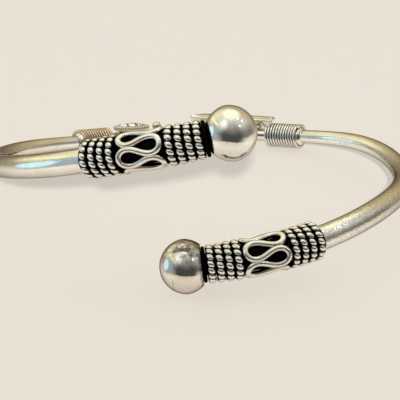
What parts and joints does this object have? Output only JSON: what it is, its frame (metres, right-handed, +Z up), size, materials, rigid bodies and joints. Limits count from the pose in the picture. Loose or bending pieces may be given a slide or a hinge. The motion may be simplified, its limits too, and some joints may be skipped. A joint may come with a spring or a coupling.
{
  "type": "bypass bangle",
  "caption": "Open bangle of one tapered silver bar whose ends pass each other, with wire-worked caps and balls on the ends and a stone and leaf at the back.",
  "frame": {"origin": "on the table under the middle of the bangle's bounding box", "axes": "+Z up from the table it lies on, -Y towards the viewer and the two ends, +Y towards the stone and the leaf, +X to the viewer's right"},
  "size_m": [0.0692, 0.0712, 0.0281],
  "materials": {
    "bar_silver": "polished silver, fine scratches",
    "ball_silver": "mirror-polished silver",
    "sleeve_oxide": "silver blackened in the recesses",
    "rope_silver": "polished high spots, dark grooves",
    "serpentine_silver": "polished top, dark flanks",
    "wrap_silver": "polished wire, dark grooves",
    "setting_silver": "yellowed silver",
    "stone": "cut, pale lilac",
    "leaf_silver": "polished silver",
    "granule_silver": "yellowed silver"
  },
  "bodies": {
    "root": {"bar": "bar_silver", "left_ball": "ball_silver", "right_ball": "ball_silver", "left_sleeve": "sleeve_oxide", "right_sleeve": "sleeve_oxide", "left_rope_1": "rope_silver", "left_rope_2": "rope_silver", "left_rope_3": "rope_silver", "left_rope_4": "rope_silver", "left_rope_5": "rope_silver", "left_rope_6": "rope_silver", "left_rope_7": "rope_silver", "left_rope_8": "rope_silver", "right_rope_1": "rope_silver", "right_rope_2": "rope_silver", "right_rope_3": "rope_silver", "right_rope_4": "rope_silver", "right_rope_5": "rope_silver", "right_rope_6": "rope_silver", "right_rope_7": "rope_silver", "right_rope_8": "rope_silver", "left_serpentine": "serpentine_silver", "right_serpentine": "serpentine_silver", "left_wrap": "wrap_silver", "right_wrap": "wrap_silver", "setting": "setting_silver", "setting_rim": "setting_silver", "stone": "stone", "leaf": "leaf_silver", "granule_1": "granule_silver", "granule_2": "granule_silver", "granule_3": "granule_silver"}
  },
  "joints": []
}
